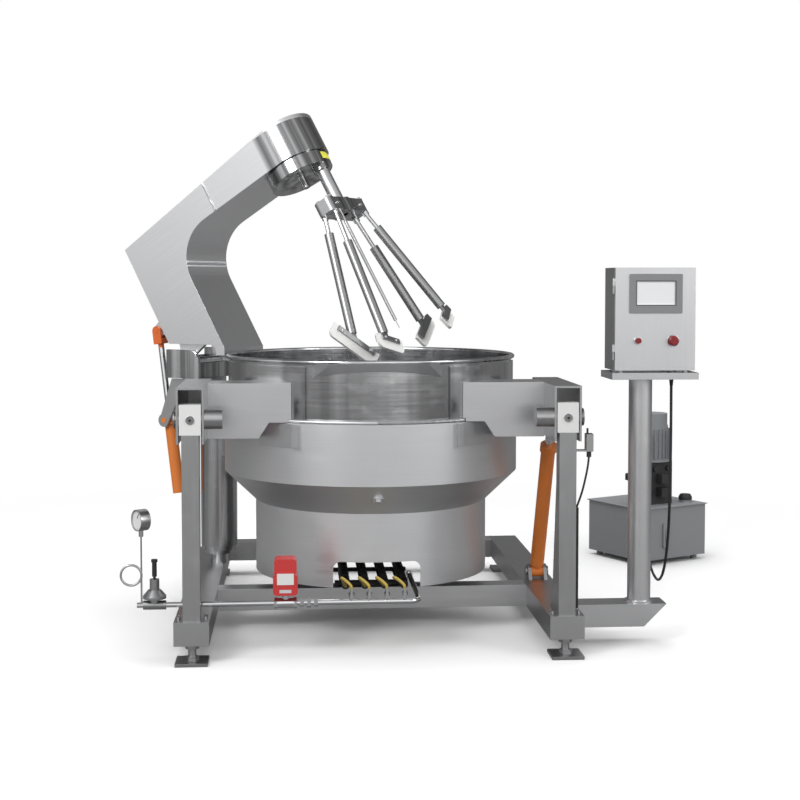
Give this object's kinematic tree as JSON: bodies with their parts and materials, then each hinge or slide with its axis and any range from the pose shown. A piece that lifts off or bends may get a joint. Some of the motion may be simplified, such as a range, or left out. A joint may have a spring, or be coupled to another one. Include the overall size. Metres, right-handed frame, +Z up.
{
  "type": "industrial planetary mixer",
  "caption": "Tilting gas-fired cooking pot with a swan-neck arm, a planetary head with sprung scraper legs, a control cabinet and a separate oil pump.",
  "frame": {"origin": "middle of the four anchor holes in the sole plates, on the floor", "axes": "+X to the right seen from the front, towards the control cabinet; +Y to the back, towards the oil pump; +Z up"},
  "size_m": [2.8418, 2.2514, 2.1201],
  "materials": {
    "brushed_stainless": "satin brushed",
    "polished_stainless": "polished",
    "dark_stainless": "satin",
    "gear_steel": "machined and oiled",
    "cylinder_orange": "semi-gloss",
    "white_plastic": "satin",
    "actuator_red": "gloss",
    "button_red": "gloss",
    "screen_bezel": "satin with a pale blank screen",
    "black_iron": "painted black, satin",
    "motor_grey": "semi-gloss grey",
    "black_plastic": "satin",
    "yellow_hose": "satin",
    "black_cable": "satin"
  },
  "bodies": {
    "base": {"side_rails": "brushed_stainless", "cross_beams": "brushed_stainless", "posts": "brushed_stainless", "bearing_blocks": "white_plastic", "levelling_feet": "brushed_stainless", "rest_column": "polished_stainless", "control_stand": "brushed_stainless", "cabinet_shell": "brushed_stainless", "tilt_base": "dark_stainless", "gas_pipe": "polished_stainless", "gas_regulator": "dark_stainless", "pressure_gauge": "dark_stainless", "shutoff_actuator": "actuator_red", "burners": "black_iron", "burner_taps": "polished_stainless", "gas_hoses": "yellow_hose", "oil_tank": "motor_grey", "pump_motor": "motor_grey", "valve_block": "black_iron", "control_cable": "black_cable", "limit_switch": "dark_stainless"},
    "kettle": {"side_channels": "brushed_stainless", "rear_beam": "brushed_stainless", "pot_ears": "brushed_stainless", "ear_saddles": "polished_stainless", "trunnion_shafts": "polished_stainless", "bowl": "brushed_stainless", "jacket": "brushed_stainless", "pouring_lip": "polished_stainless", "arm_pedestal": "dark_stainless"},
    "arm": {"swan_arm": "brushed_stainless", "arm_shaft": "polished_stainless", "head_motor": "black_iron", "sun_gear": "gear_steel"},
    "carrier": {"head_drum": "dark_stainless"},
    "tool": {"tool_shaft": "polished_stainless", "tool_hub": "dark_stainless", "leg_rods": "polished_stainless"},
    "lift_barrel": {"lift_barrel": "cylinder_orange"},
    "lift_rod": {"lift_rod": "polished_stainless"},
    "tilt_barrel": {"tilt_barrel": "cylinder_orange"},
    "tilt_rod": {"tilt_rod": "polished_stainless"},
    "cabinet_door": {"cabinet_door": "brushed_stainless", "touch_panel": "screen_bezel"},
    "emergency_stop": {"emergency_stop": "button_red"},
    "start_button": {"start_button": "button_red"},
    "regulator_knob": {"regulator_knob": "black_plastic"},
    "filler_cap": {"filler_cap": "black_plastic"},
    "leg_a": {"leg_sleeve_a": "polished_stainless", "scraper_a": "white_plastic"},
    "tap_a": {"tap_lever_a": "polished_stainless"},
    "leg_b": {"leg_sleeve_b": "polished_stainless", "scraper_b": "white_plastic"},
    "tap_b": {"tap_lever_b": "polished_stainless"},
    "leg_c": {"leg_sleeve_c": "polished_stainless", "scraper_c": "white_plastic"},
    "tap_c": {"tap_lever_c": "polished_stainless"},
    "leg_d": {"leg_sleeve_d": "polished_stainless", "scraper_d": "white_plastic"},
    "tap_d": {"tap_lever_d": "polished_stainless"}
  },
  "joints": [
    {"name": "kettle_tilt", "type": "hinge", "parent": "base", "child": "kettle", "pos_m": [0, -0.797, 0.901], "axis": [1, 0, 0], "range_deg": [0, 80]},
    {"name": "arm_lift", "type": "hinge", "parent": "kettle", "child": "arm", "pos_m": [-0.70388, 0.33483, 1.051], "axis": [0.5299, 0.848, 0], "range_deg": [0, 30]},
    {"name": "carrier_turn", "type": "hinge", "parent": "arm", "child": "carrier", "pos_m": [-0.27918, 0.06945, 1.84359], "axis": [-0.424, 0.265, 0.866], "continuous": true},
    {"name": "tool_spin", "type": "hinge", "parent": "carrier", "child": "tool", "pos_m": [-0.20573, 0.02356, 1.89359], "axis": [-0.424, 0.265, 0.866], "continuous": true},
    {"name": "leg_a_slide", "type": "slide", "parent": "tool", "child": "leg_a", "axis": [-0.2018, 0.3309, 0.9218], "range_m": [0, 0.025], "stiffness_N_per_m": 2000, "springref_m": -0.02},
    {"name": "leg_b_slide", "type": "slide", "parent": "tool", "child": "leg_b", "axis": [-0.3271, 0.3604, 0.8736], "range_m": [0, 0.025], "stiffness_N_per_m": 2000, "springref_m": -0.02},
    {"name": "leg_c_slide", "type": "slide", "parent": "tool", "child": "leg_c", "axis": [-0.5315, 0.1355, 0.8362], "range_m": [0, 0.025], "stiffness_N_per_m": 2000, "springref_m": -0.02},
    {"name": "leg_d_slide", "type": "slide", "parent": "tool", "child": "leg_d", "axis": [-0.6142, 0.1851, 0.7671], "range_m": [0, 0.025], "stiffness_N_per_m": 2000, "springref_m": -0.02},
    {"name": "lift_barrel_swing", "type": "hinge", "parent": "kettle", "child": "lift_barrel", "pos_m": [-0.8756, 0.37139, 0.79], "axis": [0.5299, 0.848, 0], "range_deg": [0, 12.88]},
    {"name": "lift_rod_slide", "type": "slide", "parent": "lift_barrel", "child": "lift_rod", "axis": [-0.1167, 0.0729, 0.9905], "range_m": [0, 0.0904]},
    {"name": "tilt_barrel_swing", "type": "hinge", "parent": "base", "child": "tilt_barrel", "pos_m": [0.697, -0.145, 0.19], "axis": [1, 0, 0], "range_deg": [0, 2.92]},
    {"name": "tilt_rod_slide", "type": "slide", "parent": "tilt_barrel", "child": "tilt_rod", "axis": [0, -0.4419, 0.8971], "range_m": [0, 0.4073]},
    {"name": "cabinet_door_hinge", "type": "hinge", "parent": "base", "child": "cabinet_door", "pos_m": [0.894, -0.697, 1.151], "axis": [0, 0, -1], "range_deg": [0, 100]},
    {"name": "emergency_stop_press", "type": "slide", "parent": "cabinet_door", "child": "emergency_stop", "axis": [0, 1, 0], "range_m": [0, 0.005], "stiffness_N_per_m": 600, "springref_m": -0.004},
    {"name": "start_button_press", "type": "slide", "parent": "cabinet_door", "child": "start_button", "axis": [0, 1, 0], "range_m": [0, 0.003], "stiffness_N_per_m": 600, "springref_m": -0.004},
    {"name": "tap_a_turn", "type": "hinge", "parent": "base", "child": "tap_a", "pos_m": [-0.105, -0.7403, 0.229], "axis": [0, 1, 0], "range_deg": [0, 90]},
    {"name": "tap_b_turn", "type": "hinge", "parent": "base", "child": "tap_b", "pos_m": [-0.038, -0.7403, 0.229], "axis": [0, 1, 0], "range_deg": [0, 90]},
    {"name": "tap_c_turn", "type": "hinge", "parent": "base", "child": "tap_c", "pos_m": [0.029, -0.7403, 0.229], "axis": [0, 1, 0], "range_deg": [0, 90]},
    {"name": "tap_d_turn", "type": "hinge", "parent": "base", "child": "tap_d", "pos_m": [0.096, -0.7403, 0.229], "axis": [0, 1, 0], "range_deg": [0, 90]},
    {"name": "regulator_turn", "type": "hinge", "parent": "base", "child": "regulator_knob", "pos_m": [-0.84, -0.725, 0.3], "axis": [0, 0, 1], "range_deg": [-180, 180]},
    {"name": "filler_cap_turn", "type": "hinge", "parent": "base", "child": "filler_cap", "pos_m": [1.66812, 1.05006, 0.297], "axis": [0, 0, 1], "range_deg": [0, 90]}
  ],
  "couplings": [
    {"joint": "tool_spin", "follows": "carrier_turn", "ratio": 2.5714},
    {"joint": "lift_barrel_swing", "follows": "arm_lift", "ratio": 0.42758},
    {"joint": "lift_rod_slide", "follows": "arm_lift", "m_per_rad": 0.17172},
    {"joint": "tilt_barrel_swing", "follows": "kettle_tilt", "ratio": 0.035871},
    {"joint": "tilt_rod_slide", "follows": "kettle_tilt", "m_per_rad": 0.29132}
  ]
}
